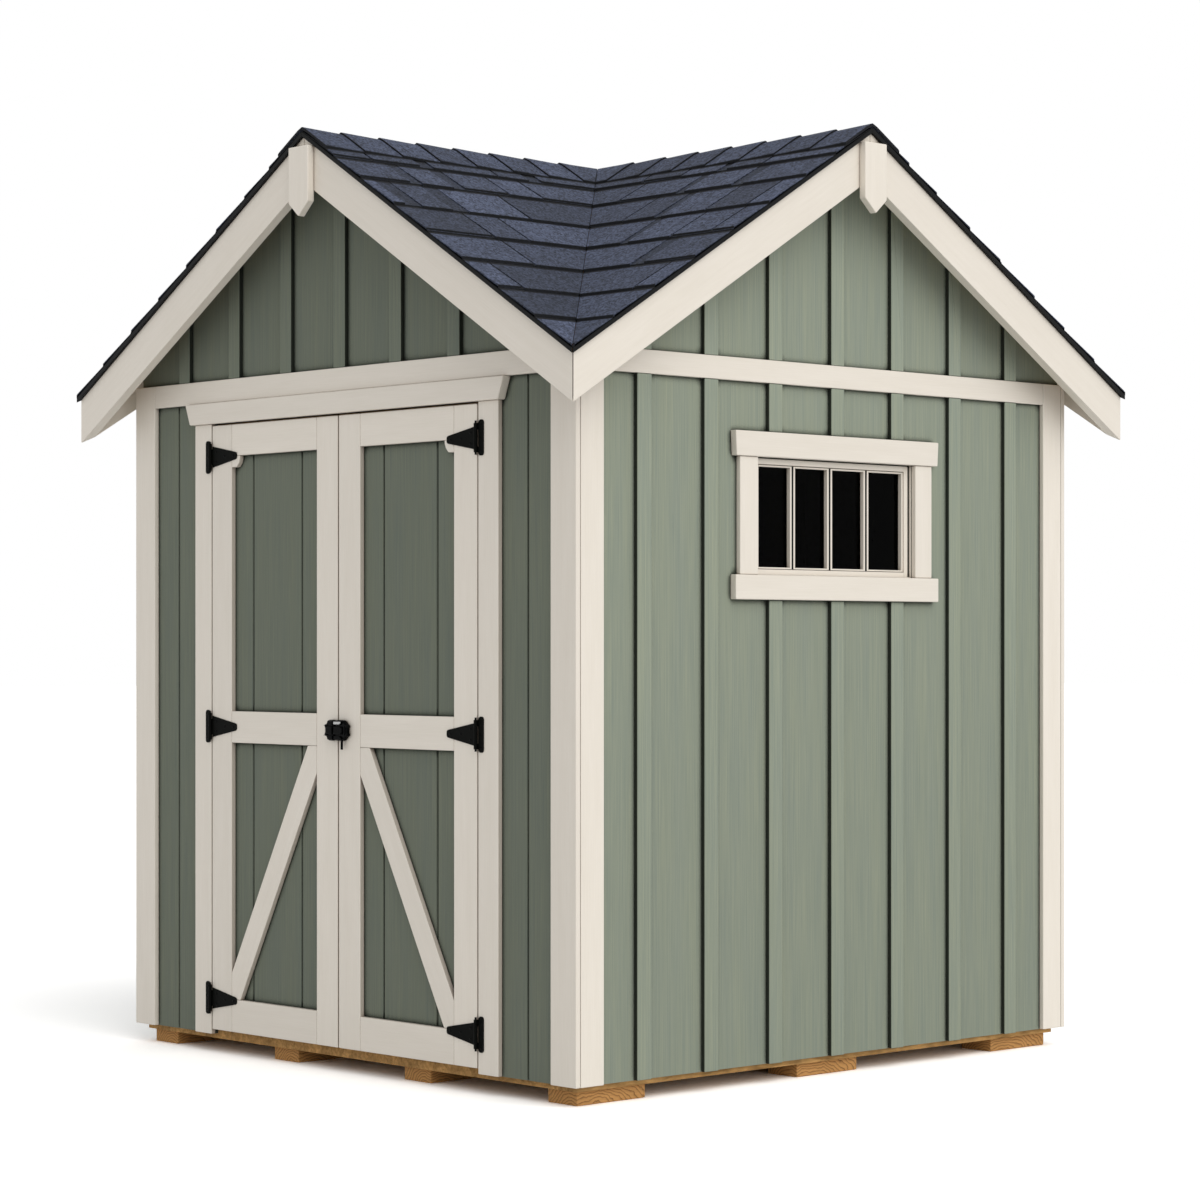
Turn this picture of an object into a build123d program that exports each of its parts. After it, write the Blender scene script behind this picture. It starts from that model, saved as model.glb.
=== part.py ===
"""Square garden shed with a cross-gable roof, double doors and one side window.

Millimetres, +Z up.  The origin is the centre of the plan at ground level.  The doors face -Y and the
window faces +X.  Every wall is drawn on a face plane: u runs along the wall to the right as seen from
outside, z is height, and the plane's offset is the distance n from the centre of the plan.
"""
import os
from math import cos, radians, sqrt, tan

from build123d import *

# Plan and wall build-up
plan_side = 2438.0
trim_thickness = 19.0
siding_thickness = 16.0
stud_depth = 89.0
stud_width = 38.0
joint = 0.5

# Ground pads and floor
pad_height = 48.0
pad_width = 140.0
pad_length = 300.0
pad_inset = 54.0
pads_along_front = 4
pads_along_side = 3
deck_thickness = 32.0
siding_lap = 13.0

# Corner boards and frieze
corner_board_width = 122.0
frieze_height = 77.0
head_to_frieze = 9.0
batten_width = 64.0
batten_thickness = 16.0
batten_pitch = 305.0

# Roof
roof_pitch_deg = 31.21
roof_over_frieze = 56.7
overhang = 146.0
barge_height = 160.0
barge_thickness = 38.0
roof_deck_thickness = 12.0
shingle_thickness = 12.0
cap_thickness = 6.0
cap_reach = 134.0
drip_thickness = 3.0
drip_reach = 12.0
drip_lap = 2.0
valley_gap = 2.0
beam_depth = 140.0
rafter_seat_inset = 15.0
jack_depth = 89.0
jack_pitch = 400.0

# Pendant board under each gable's peak
pendant_half_width = 54.0
pendant_thickness = 28.0
pendant_top_drop = 37.0
pendant_side = 192.0
pendant_point = 48.0

# Doorway, casing and leaves
casing_inner = 742.0
casing_width = 100.0
head_height = 71.0
head_overhang = 14.0
head_flare = 28.0
head_thickness = 34.0
leaf_height = 2183.0
leaf_floor_gap = 5.0
leaf_head_gap = 7.0
hinge_gap = 6.0
meeting_gap = 7.0
stile_width = 118.0
top_rail = 113.0
middle_rail = 113.0
middle_rail_rise = 1096.0
bottom_rail = 118.0
brace_width = 89.0
gusset_width = 48.0
gusset_drop = 48.0
gusset_round = 36.0
groove_width = 11.0
groove_depth = 8.0
groove_spacing = 284.0
strip_groove = 968.0
stop_lap = 22.0
stop_clearance = 5.0
stop_thickness = 19.0

# Strap hinges
hinge_plate_height = 118.0
hinge_plate_width = 25.0
hinge_plate_round = 10.0
hinge_metal = 3.0
barrel_radius = 6.5
barrel_stand = 1.5
hinge_pin_radius = 3.5
pin_clearance = 0.3
knuckle_half = 28.0
pin_half = 56.0
barrel_half = 48.0
strap_root = 76.0
strap_tip = 23.0
strap_tip_round = 9.0
strap_length = 154.0
hinge_foot_drop = 5.0

# Latch across the meeting stiles
latch_half_width = 72.0
latch_height = 74.0
latch_depth = 26.0
latch_corner_cut = 17.0
latch_bevel = 5.0
latch_nub_reach = 6.0
latch_nub_height = 13.0
latch_nub_spacing = 28.0
latch_nub_inset = 6.0
latch_pin_radius = 4.8
latch_pin_drop = 29.0
latch_pin_offset = 26.0

# Window in the right wall
window_half_opening = 394.0
window_opening_height = 396.0
window_head_drop = 165.0
window_trim_width = 86.0
window_trim_thickness = 20.0
window_head_height = 84.0
window_head_overhang = 28.0
window_head_taper = 5.0
window_sill_height = 83.0
window_cap_thickness = 28.0
sash_recess = 29.0
sash_thickness = 28.0
sash_width = 40.0
glass_thickness = 4.0
glass_inset = 22.0

# Levels and faces that follow from these sizes
half_plan = plan_side / 2
siding_face = half_plan - trim_thickness
frame_face = siding_face - siding_thickness
frame_inner = frame_face - stud_depth
deck_top = pad_height + deck_thickness
wall_foot = deck_top - siding_lap
leaf_bottom = deck_top + leaf_floor_gap
leaf_top = leaf_bottom + leaf_height
casing_top = leaf_top + leaf_head_gap
frieze_bottom = casing_top + head_height + head_to_frieze
frieze_top = frieze_bottom + frieze_height
plate_top = frieze_bottom + stud_width
plate_bottom = plate_top - stud_width
slope = tan(radians(roof_pitch_deg))
ridge_underside = frieze_top + roof_over_frieze + slope * siding_face
plumb = 1 / cos(radians(roof_pitch_deg))
deck_rise = roof_deck_thickness * plumb
shingle_rise = shingle_thickness * plumb
cap_rise = cap_thickness * plumb
barge_face = half_plan + overhang
roof_edge = barge_face + drip_reach
stud_half = stud_width / 2
leaf_outer = casing_inner - hinge_gap
leaf_inner = meeting_gap / 2
axis_u = casing_inner - hinge_gap / 2
hinge_axis_proud = barrel_radius + barrel_stand
axis_n = half_plan + hinge_axis_proud
door_stud = casing_inner + hinge_gap
window_top = frieze_bottom - window_head_drop - window_head_height
window_bottom = window_top - window_opening_height
window_head_half = window_half_opening + window_trim_width + window_head_overhang
middle_rail_centre = leaf_bottom + middle_rail_rise
hinge_heights = (leaf_top - top_rail, middle_rail_centre, leaf_bottom + bottom_rail - hinge_foot_drop)
corner_inner = half_plan - corner_board_width
batten_half = batten_width / 2
battens_each_side = int((corner_inner - batten_half) // batten_pitch)

front = Plane(origin=(0, 0, 0), x_dir=(1, 0, 0), z_dir=(0, -1, 0))
right = Plane(origin=(0, 0, 0), x_dir=(0, 1, 0), z_dir=(1, 0, 0))
back = Plane(origin=(0, 0, 0), x_dir=(-1, 0, 0), z_dir=(0, 1, 0))
left = Plane(origin=(0, 0, 0), x_dir=(0, -1, 0), z_dir=(-1, 0, 0))
sides = {"front": front, "right": right, "back": back, "left": left}
pieces = {}


def under_roof(u):
    """Height of the underside of the roof deck at distance u from a ridge."""
    return ridge_underside - slope * abs(u)


def board(face, near, far, u0, u1, z0, z1):
    """Add a rectangular board on a face plane between two distances from the plan centre."""
    with BuildSketch(face.offset(near)) as outline:
        with Locations(((u0 + u1) / 2, (z0 + z1) / 2)):
            Rectangle(u1 - u0, z1 - z0)
    extrude(outline.sketch, amount=far - near)


def panel(face, near, far, *corners):
    """Add a flat piece of any outline on a face plane between two distances from the plan centre."""
    with BuildSketch(face.offset(near)) as outline:
        with BuildLine():
            Polyline(*corners, close=True)
        make_face()
    extrude(outline.sketch, amount=far - near)


def rounded_board(face, near, far, u0, u1, z0, z1, radius):
    """Add a flat plate with rounded corners on a face plane."""
    with BuildSketch(face.offset(near)) as outline:
        with Locations(((u0 + u1) / 2, (z0 + z1) / 2)):
            RectangleRounded(u1 - u0, z1 - z0, radius)
    extrude(outline.sketch, amount=far - near)


def soft_panel(face, near, far, radius, *corners):
    """Add a flat piece whose two corners nearest the middle of the wall are rounded."""
    with BuildSketch(face.offset(near)) as outline:
        with BuildLine():
            Polyline(*corners, close=True)
        make_face()
        fillet(outline.vertices().sort_by(lambda corner: abs(corner.X))[:2], radius)
    extrude(outline.sketch, amount=far - near)


def groove(u, z0, z1):
    """Cut an upright V groove into the outer face of a sheet on the front wall."""
    with BuildSketch(Plane.XY.offset(z0)) as outline:
        with BuildLine():
            Polyline((u - groove_width / 2, -siding_face), (u + groove_width / 2, -siding_face),
                     (u, -siding_face + groove_depth), close=True)
        make_face()
    extrude(outline.sketch, amount=z1 - z0, mode=Mode.SUBTRACT)


def rod(u, n, z0, z1, radius, mode=Mode.ADD):
    """Add or cut an upright round bar standing in front of the front wall."""
    with BuildSketch(Plane.XY.offset(z0)) as outline:
        with Locations((u, -n)):
            Circle(radius)
    extrude(outline.sketch, amount=z1 - z0, mode=mode)


def gable_panel(face, half, foot):
    """Add a siding panel whose top follows the two slopes of its gable."""
    shoulder = under_roof(half) - joint
    panel(face, frame_face, siding_face, (-half, foot), (half, foot), (half, shoulder),
          (0, under_roof(0) - joint), (-half, shoulder))


def keep_half_arm(face, reach, ridge_clear=joint, valley_clear=valley_gap):
    """Cut what stands to the part between a ridge and the valley on its right, with plumb cuts."""
    with BuildSketch(Plane(origin=(0, 0, 0), x_dir=face.x_dir, z_dir=(0, 0, 1))) as outline:
        with BuildLine():
            Polyline((ridge_clear, -ridge_clear - valley_clear), (ridge_clear, -reach),
                     (reach - valley_clear, -reach), close=True)
        make_face()
    extrude(outline.sketch, amount=ridge_underside * 2, mode=Mode.INTERSECT)


def slope_sheet(face, start, rise, reach, width):
    """Add both slopes of one roof arm as sheets that lie a given height over the deck's underside."""
    low = under_roof(width) + start
    panel(face, 0, reach, (0, under_roof(0) + start), (width, low), (width, low + rise),
          (0, under_roof(0) + start + rise))
    keep_half_arm(face, reach)
    mirror(about=Plane(origin=(0, 0, 0), z_dir=face.x_dir))


def rake_boards(face, near, far, start, rise):
    """Add the pair of boards along a gable's two rakes, mitred at the roof's corners."""
    low = under_roof(far) + start
    panel(face, near, far, (0, under_roof(0) + start), (far, low), (far, low + rise),
          (0, under_roof(0) + start + rise))
    keep_half_arm(face, far)
    mirror(about=Plane(origin=(0, 0, 0), z_dir=face.x_dir))


# Timber pads in three rows of four
with BuildPart() as ground_pads:
    pad_span_x = 2 * (half_plan - pad_inset) - pad_width
    pad_span_y = 2 * (half_plan - pad_inset) - pad_length
    with BuildSketch(Plane.XY):
        with GridLocations(pad_span_x / (pads_along_front - 1), pad_span_y / (pads_along_side - 1),
                           pads_along_front, pads_along_side):
            Rectangle(pad_width, pad_length)
    extrude(amount=pad_height)
pieces["ground_pads"] = ground_pads

with BuildPart() as floor_deck:
    with BuildSketch(Plane.XY.offset(pad_height)):
        Rectangle(2 * frame_face, 2 * frame_face)
    extrude(amount=deck_thickness)
pieces["floor_deck"] = floor_deck

# Siding: the front and back panels lap the ends of the side panels
with BuildPart() as front_wall_sides:
    board(front, frame_face, siding_face, -siding_face, -casing_inner, wall_foot, casing_top - joint)
    board(front, frame_face, siding_face, casing_inner, siding_face, wall_foot, casing_top - joint)
    for sign in (-1, 1):
        groove(sign * strip_groove, wall_foot, casing_top)
pieces["front_wall_sides"] = front_wall_sides

with BuildPart() as front_wall_over_door:
    gable_panel(front, siding_face, casing_top)
pieces["front_wall_over_door"] = front_wall_over_door

with BuildPart() as right_wall_sides:
    board(right, frame_face, siding_face, -frame_face, -window_half_opening, wall_foot, window_top - joint)
    board(right, frame_face, siding_face, window_half_opening, frame_face, wall_foot, window_top - joint)
pieces["right_wall_sides"] = right_wall_sides

with BuildPart() as right_wall_under_window:
    board(right, frame_face, siding_face, -window_half_opening + joint, window_half_opening - joint,
          wall_foot, window_bottom)
pieces["right_wall_under_window"] = right_wall_under_window

with BuildPart() as right_wall_over_window:
    gable_panel(right, frame_face, window_top)
pieces["right_wall_over_window"] = right_wall_over_window

with BuildPart() as back_wall:
    gable_panel(back, siding_face, wall_foot)
pieces["back_wall"] = back_wall

with BuildPart() as left_wall:
    gable_panel(left, frame_face, wall_foot)
pieces["left_wall"] = left_wall

# Wall framing
with BuildPart() as sole_plates:
    for face in (right, left):
        board(face, frame_inner, frame_face, -frame_face, frame_face, deck_top, deck_top + stud_width)
    plate_end = frame_inner - joint
    board(back, frame_inner, frame_face, -plate_end, plate_end, deck_top, deck_top + stud_width)
    board(front, frame_inner, frame_face, -plate_end, -door_stud, deck_top, deck_top + stud_width)
    board(front, frame_inner, frame_face, door_stud, plate_end, deck_top, deck_top + stud_width)
pieces["sole_plates"] = sole_plates

with BuildPart() as top_plates:
    for face in (right, left):
        board(face, frame_inner, frame_face, -frame_face, frame_face, plate_bottom, plate_top)
    for face in (front, back):
        board(face, frame_inner, frame_face, -plate_end, plate_end, plate_bottom, plate_top)
pieces["top_plates"] = top_plates

stud_pitch = 2 * batten_pitch
side_end = frame_face - stud_half
front_end = frame_inner - joint - stud_half
window_stud = window_half_opening + joint + stud_half
stud_rows = (
    (front, (-front_end, -door_stud - stud_half, door_stud + stud_half, front_end)),
    (right, (-side_end, -window_stud, window_stud, side_end)),
    (back, (-front_end, -stud_pitch, 0, stud_pitch, front_end)),
    (left, (-side_end, -stud_pitch, 0, stud_pitch, side_end)),
)
with BuildPart() as wall_studs:
    for face, places in stud_rows:
        for place in places:
            board(face, frame_inner, frame_face, place - stud_half, place + stud_half,
                  deck_top + stud_width, plate_bottom)
pieces["wall_studs"] = wall_studs

with BuildPart() as lintels:
    board(front, frame_inner, frame_face, -door_stud + joint, door_stud - joint, casing_top, plate_bottom)
    window_span = window_half_opening
    board(right, frame_inner, frame_face, -window_span, window_span, window_top, window_top + stud_width)
    board(right, frame_inner, frame_face, -window_span, window_span, window_bottom - stud_width,
          window_bottom)
pieces["lintels"] = lintels

stop_far = frame_face - stop_clearance
with BuildPart() as door_stops:
    for sign in (-1, 1):
        inner_edge = sign * (leaf_outer - stop_lap)
        outer_edge = sign * (door_stud - joint)
        board(front, stop_far - stop_thickness, stop_far, min(inner_edge, outer_edge),
              max(inner_edge, outer_edge), deck_top, casing_top - joint)
    head_stop = leaf_outer - stop_lap - joint
    board(front, stop_far - stop_thickness, stop_far, -head_stop, head_stop, leaf_top - stop_lap,
          casing_top - joint)
pieces["door_stops"] = door_stops

# Roof framing
beam_top = under_roof(stud_half) - joint
with BuildPart() as ridge_beams:
    board(front, -frame_face, frame_face, -stud_half, stud_half, beam_top - beam_depth, beam_top)
    for face in (right, left):
        board(face, stud_half + joint, frame_face, -stud_half, stud_half, beam_top - beam_depth, beam_top)
pieces["ridge_beams"] = ridge_beams

with BuildPart() as gable_posts:
    for face in sides.values():
        board(face, frame_inner, frame_face, -stud_half, stud_half, plate_top, beam_top - beam_depth)
pieces["gable_posts"] = gable_posts

# Valley rafters run on the diagonals, with a level seat on the plates at their feet
diagonal = sqrt(2)
seat_start = diagonal * (frame_inner - rafter_seat_inset)
valley_drop = under_roof(seat_start / diagonal) - plate_top
rafter_head = diagonal * (stud_half + joint) + stud_half
rafter_foot = diagonal * (frame_face - joint) - stud_half
with BuildPart() as valley_rafter:
    with BuildSketch(Plane(origin=(0, 0, 0), x_dir=(1, -1, 0), z_dir=(-1, -1, 0))):
        with BuildLine():
            Polyline((rafter_head, under_roof(rafter_head / diagonal) - joint),
                     (rafter_foot, under_roof(rafter_foot / diagonal) - joint),
                     (rafter_foot, plate_top), (seat_start, plate_top),
                     (rafter_head, under_roof(rafter_head / diagonal) - valley_drop), close=True)
        make_face()
    extrude(amount=stud_half, both=True)
with BuildPart() as valley_rafters:
    with PolarLocations(0, len(sides)):
        add(valley_rafter.part)
pieces["valley_rafters"] = valley_rafters

# Jack rafters run down each slope from a ridge beam to a valley rafter
jack_drop = jack_depth * plumb
jack_places = [step * jack_pitch for step in range(1, int((frame_inner - stud_half) // jack_pitch) + 1)]
with BuildPart() as jack_pair:
    for place in jack_places:
        jack_foot = place + stud_half
        panel(front, place - stud_half, place + stud_half, (0, under_roof(0) - joint),
              (jack_foot, under_roof(jack_foot) - joint), (jack_foot, under_roof(jack_foot) - jack_drop),
              (0, under_roof(0) - jack_drop))
    keep_half_arm(front, frame_face, stud_half + joint, diagonal * stud_half + joint)
    mirror(about=Plane(origin=(0, 0, 0), z_dir=front.x_dir))
with BuildPart() as jack_rafters:
    with PolarLocations(0, len(sides)):
        add(jack_pair.part)
pieces["jack_rafters"] = jack_rafters

# Roof deck, covering, ridge capping and metal edge
for side, face in sides.items():
    with BuildPart() as roof_deck:
        slope_sheet(face, 0, deck_rise, roof_edge - drip_thickness, roof_edge)
    pieces[side + "_roof_deck"] = roof_deck

with BuildPart() as shingle_arm:
    slope_sheet(front, deck_rise, shingle_rise, roof_edge, roof_edge)
with BuildPart() as shingles:
    with PolarLocations(0, len(sides)):
        add(shingle_arm.part)
pieces["shingles"] = shingles

with BuildPart() as cap_arm:
    slope_sheet(front, deck_rise + shingle_rise, cap_rise, roof_edge, cap_reach)
with BuildPart() as ridge_caps:
    with PolarLocations(0, len(sides)):
        add(cap_arm.part)
pieces["ridge_caps"] = ridge_caps

with BuildPart() as drip_pair:
    rake_boards(front, roof_edge - drip_thickness, roof_edge, -drip_lap, drip_lap + deck_rise)
with BuildPart() as drip_edges:
    with PolarLocations(0, len(sides)):
        add(drip_pair.part)
pieces["drip_edges"] = drip_edges

# Barge boards and the pendant that covers their meeting at each peak
for side, face in sides.items():
    with BuildPart() as barge_boards:
        rake_boards(face, barge_face - barge_thickness, barge_face, -barge_height, barge_height)
    pieces[side + "_barge_boards"] = barge_boards

pendant_top = ridge_underside - pendant_top_drop
pendant_shoulder = pendant_top - pendant_side
with BuildPart() as gable_pendants:
    for face in sides.values():
        panel(face, barge_face, barge_face + pendant_thickness, (-pendant_half_width, pendant_top),
              (-pendant_half_width, pendant_shoulder), (0, pendant_shoulder - pendant_point),
              (pendant_half_width, pendant_shoulder), (pendant_half_width, pendant_top))
pieces["gable_pendants"] = gable_pendants

# Corner boards, frieze and battens
with BuildPart() as corner_boards_front_back:
    for face in (front, back):
        board(face, siding_face, half_plan, -half_plan, -corner_inner, wall_foot, frieze_top)
        board(face, siding_face, half_plan, corner_inner, half_plan, wall_foot, frieze_top)
pieces["corner_boards_front_back"] = corner_boards_front_back

with BuildPart() as corner_boards_sides:
    for face in (right, left):
        board(face, siding_face, half_plan, -siding_face, -corner_inner, wall_foot, frieze_top)
        board(face, siding_face, half_plan, corner_inner, siding_face, wall_foot, frieze_top)
pieces["corner_boards_sides"] = corner_boards_sides

with BuildPart() as frieze_boards:
    frieze_end = corner_inner - joint
    for face in sides.values():
        board(face, siding_face, half_plan, -frieze_end, frieze_end, frieze_bottom, frieze_top)
pieces["frieze_boards"] = frieze_boards

batten_places = [step * batten_pitch for step in range(-battens_each_side, battens_each_side + 1)]
batten_face = siding_face + batten_thickness
head_top = window_top + window_head_height
sill_foot = window_bottom - window_sill_height
with BuildPart() as right_wall_battens:
    for place in batten_places:
        start, end = place - batten_half, place + batten_half
        if abs(place) - batten_half > window_head_half:
            board(right, siding_face, batten_face, start, end, wall_foot, frieze_bottom)
        else:
            board(right, siding_face, batten_face, start, end, wall_foot, sill_foot)
            board(right, siding_face, batten_face, start, end, head_top, frieze_bottom)
pieces["right_wall_battens"] = right_wall_battens

for side in ("back", "left"):
    with BuildPart() as wall_battens:
        for place in batten_places:
            board(sides[side], siding_face, batten_face, place - batten_half, place + batten_half,
                  wall_foot, frieze_bottom)
    pieces[side + "_wall_battens"] = wall_battens

with BuildPart() as gable_battens:
    for face in sides.values():
        for place in batten_places:
            start, end = place - batten_half, place + batten_half
            top = [(start, under_roof(start) - joint), (end, under_roof(end) - joint)]
            if start < 0 < end:
                top.insert(1, (0, under_roof(0) - joint))
            panel(face, siding_face, batten_face, (end, frieze_top), (start, frieze_top), *top)
pieces["gable_battens"] = gable_battens

# Door casing and head
with BuildPart() as door_casings:
    board(front, siding_face, half_plan, -casing_inner - casing_width, -casing_inner, wall_foot, casing_top)
    board(front, siding_face, half_plan, casing_inner, casing_inner + casing_width, wall_foot, casing_top)
pieces["door_casings"] = door_casings

with BuildPart() as door_head:
    head_half = casing_inner + casing_width + head_overhang
    panel(front, siding_face, siding_face + head_thickness, (-head_half, casing_top), (head_half, casing_top),
          (head_half + head_flare, casing_top + head_height),
          (-head_half - head_flare, casing_top + head_height))
pieces["door_head"] = door_head

# Window: trim, sash and glass
with BuildPart() as window_head:
    panel(right, siding_face, siding_face + window_cap_thickness,
          (-window_head_half + window_head_taper, window_top),
          (window_head_half - window_head_taper, window_top),
          (window_head_half, head_top), (-window_head_half, head_top))
pieces["window_head"] = window_head

with BuildPart() as window_sill:
    board(right, siding_face, siding_face + window_cap_thickness, -window_head_half, window_head_half,
          sill_foot, window_bottom)
pieces["window_sill"] = window_sill

with BuildPart() as window_jambs:
    jamb_outer = window_half_opening + window_trim_width
    for inner, outer in ((-window_half_opening, -jamb_outer), (window_half_opening, jamb_outer)):
        board(right, siding_face, siding_face + window_trim_thickness, min(inner, outer), max(inner, outer),
              window_bottom, window_top)
pieces["window_jambs"] = window_jambs

sash_face = siding_face + window_trim_thickness - sash_recess
sash_outer = window_half_opening - joint
sash_middle = (window_bottom + window_top) / 2
with BuildPart() as window_sash:
    with BuildSketch(right.offset(sash_face - sash_thickness)):
        with Locations((0, sash_middle)):
            Rectangle(2 * sash_outer, window_top - window_bottom)
            Rectangle(2 * (sash_outer - sash_width), window_top - window_bottom - 2 * sash_width,
                      mode=Mode.SUBTRACT)
    extrude(amount=sash_thickness)
pieces["window_sash"] = window_sash

with BuildPart() as window_glass:
    board(right, sash_face - glass_inset - glass_thickness, sash_face - glass_inset,
          -sash_outer + sash_width, sash_outer - sash_width, window_bottom + sash_width,
          window_top - sash_width)
pieces["window_glass"] = window_glass

# Door leaves: a boarded panel with stiles, rails and one brace planted on its face
stile_outer = leaf_outer - stile_width
stile_inner = leaf_inner + stile_width
rail_low = middle_rail_centre - middle_rail / 2
rail_high = middle_rail_centre + middle_rail / 2
rail_foot_top = leaf_bottom + bottom_rail
rail_head_bottom = leaf_top - top_rail
brace_run = stile_outer - stile_inner
brace_rise = rail_low - rail_foot_top
brace_length = sqrt(brace_run ** 2 + brace_rise ** 2)
brace_up = brace_width / 2 * brace_length / brace_run
brace_across = brace_width / 2 * brace_length / brace_rise
for side, sign in (("left", -1), ("right", 1)):
    with BuildPart() as door_panel:
        edges = sorted((sign * leaf_inner, sign * leaf_outer))
        board(front, frame_face, siding_face, *edges, leaf_bottom, leaf_top)
        for offset in (-groove_spacing / 2, groove_spacing / 2):
            groove(sign * (stile_inner + stile_outer) / 2 + offset, leaf_bottom, leaf_top)
    pieces[side + "_door_panel"] = door_panel

    with BuildPart() as door_frame:
        for inner, outer in ((leaf_inner, stile_inner - joint), (stile_outer + joint, leaf_outer)):
            board(front, siding_face, half_plan, *sorted((sign * inner, sign * outer)), leaf_bottom, leaf_top)
        rail = sorted((sign * stile_inner, sign * stile_outer))
        for low, high in ((leaf_bottom, rail_foot_top - joint), (rail_low, rail_high),
                          (rail_head_bottom, leaf_top)):
            board(front, siding_face, half_plan, *rail, low, high)
        panel(front, siding_face, half_plan,
              (sign * stile_outer, rail_foot_top), (sign * (stile_outer - brace_across), rail_foot_top),
              (sign * stile_inner, rail_low - joint - brace_up), (sign * stile_inner, rail_low - joint),
              (sign * (stile_inner + brace_across), rail_low - joint),
              (sign * stile_outer, rail_foot_top + brace_up))
        gusset_top = rail_head_bottom - joint
        gusset_edge = stile_outer - gusset_width
        with BuildSketch(front.offset(siding_face)) as gusset:
            with BuildLine():
                Polyline((sign * stile_outer, gusset_top), (sign * gusset_edge, gusset_top),
                         (sign * gusset_edge, gusset_top - gusset_drop),
                         (sign * stile_outer, gusset_top - gusset_drop), close=True)
            make_face()
            free_corner = gusset.vertices().group_by(Axis.Y)[0].sort_by(lambda corner: abs(corner.X))[0]
            fillet(free_corner, gusset_round)
        extrude(gusset.sketch, amount=trim_thickness)
    pieces[side + "_door_frame"] = door_frame

    with BuildPart() as hinge_straps:
        for height in hinge_heights:
            root = axis_u - hinge_axis_proud
            tip = axis_u - strap_length
            soft_panel(front, half_plan, half_plan + hinge_metal, strap_tip_round,
                       (sign * root, height - strap_root / 2), (sign * tip, height - strap_tip / 2),
                       (sign * tip, height + strap_tip / 2), (sign * root, height + strap_root / 2))
            board(front, half_plan, half_plan + hinge_metal, *sorted((sign * root, sign * axis_u)),
                  height - knuckle_half, height + knuckle_half)
            rod(sign * axis_u, axis_n, height - knuckle_half, height + knuckle_half, barrel_radius)
            rod(sign * axis_u, axis_n, height - knuckle_half, height + knuckle_half,
                hinge_pin_radius + pin_clearance, Mode.SUBTRACT)
    pieces[side + "_hinge_straps"] = hinge_straps

with BuildPart() as hinge_plates:
    for sign in (-1, 1):
        for height in hinge_heights:
            plate_near = axis_u + hinge_axis_proud
            plate_far = axis_u + hinge_axis_proud + hinge_plate_width
            rounded_board(front, half_plan, half_plan + hinge_metal,
                          *sorted((sign * plate_near, sign * plate_far)), height - hinge_plate_height / 2,
                          height + hinge_plate_height / 2, hinge_plate_round)
            for start, end in ((-barrel_half, -knuckle_half - joint), (knuckle_half + joint, barrel_half)):
                board(front, half_plan, half_plan + hinge_metal, *sorted((sign * axis_u, sign * plate_near)),
                      height + start, height + end)
                rod(sign * axis_u, axis_n, height + start, height + end, barrel_radius)
            rod(sign * axis_u, axis_n, height - pin_half, height + pin_half, hinge_pin_radius)
pieces["hinge_plates"] = hinge_plates

# Latch: the case with its drop pin on the right leaf, the keeper on the left leaf
latch_foot = middle_rail_centre - latch_height / 2
latch_top = latch_foot + latch_height
latch_face = half_plan + latch_depth
latch_side = latch_half_width - latch_nub_reach
with BuildPart() as latch_half:
    panel(front, half_plan, latch_face, (leaf_inner, latch_foot), (latch_side - latch_corner_cut, latch_foot),
          (latch_side, latch_foot + latch_corner_cut), (latch_side, latch_top - latch_corner_cut),
          (latch_side - latch_corner_cut, latch_top), (leaf_inner, latch_top))
    chamfer(latch_half.faces().sort_by(Axis.Y)[0].edges(), latch_bevel)
    for step in (-latch_nub_spacing / 2, latch_nub_spacing / 2):
        nub_middle = middle_rail_centre + step
        board(front, half_plan + latch_nub_inset, latch_face - latch_nub_inset, latch_side, latch_half_width,
              nub_middle - latch_nub_height / 2, nub_middle + latch_nub_height / 2)
with BuildPart() as latch_keeper:
    mirror(latch_half.part, about=Plane.YZ)
pieces["latch_keeper"] = latch_keeper

with BuildPart() as latch_case:
    add(latch_half.part)
    rod(latch_pin_offset, half_plan + latch_depth / 2, latch_foot - latch_pin_drop, latch_foot,
        latch_pin_radius)
pieces["latch_case"] = latch_case

os.makedirs("parts", exist_ok=True)
for label, piece in pieces.items():
    piece.part.label = label
    export_step(piece.part, f"parts/{label}.step")
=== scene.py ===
# %% [markdown]
# # A painted garden shed
# The shed is a square timber box under a roof of four gables. The frame that is loaded here already has
# the right sizes: walls, rafters, doors and hinges. These cells dress it: planed boards with eased edges,
# grooved door panels, a shingle roof, and paint, timber, iron and glass that look like the real ones.
# Everything is in metres, +Z up, with the doors facing -Y and the window facing +X.

# %% Load the frame
from math import radians, tan

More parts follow.
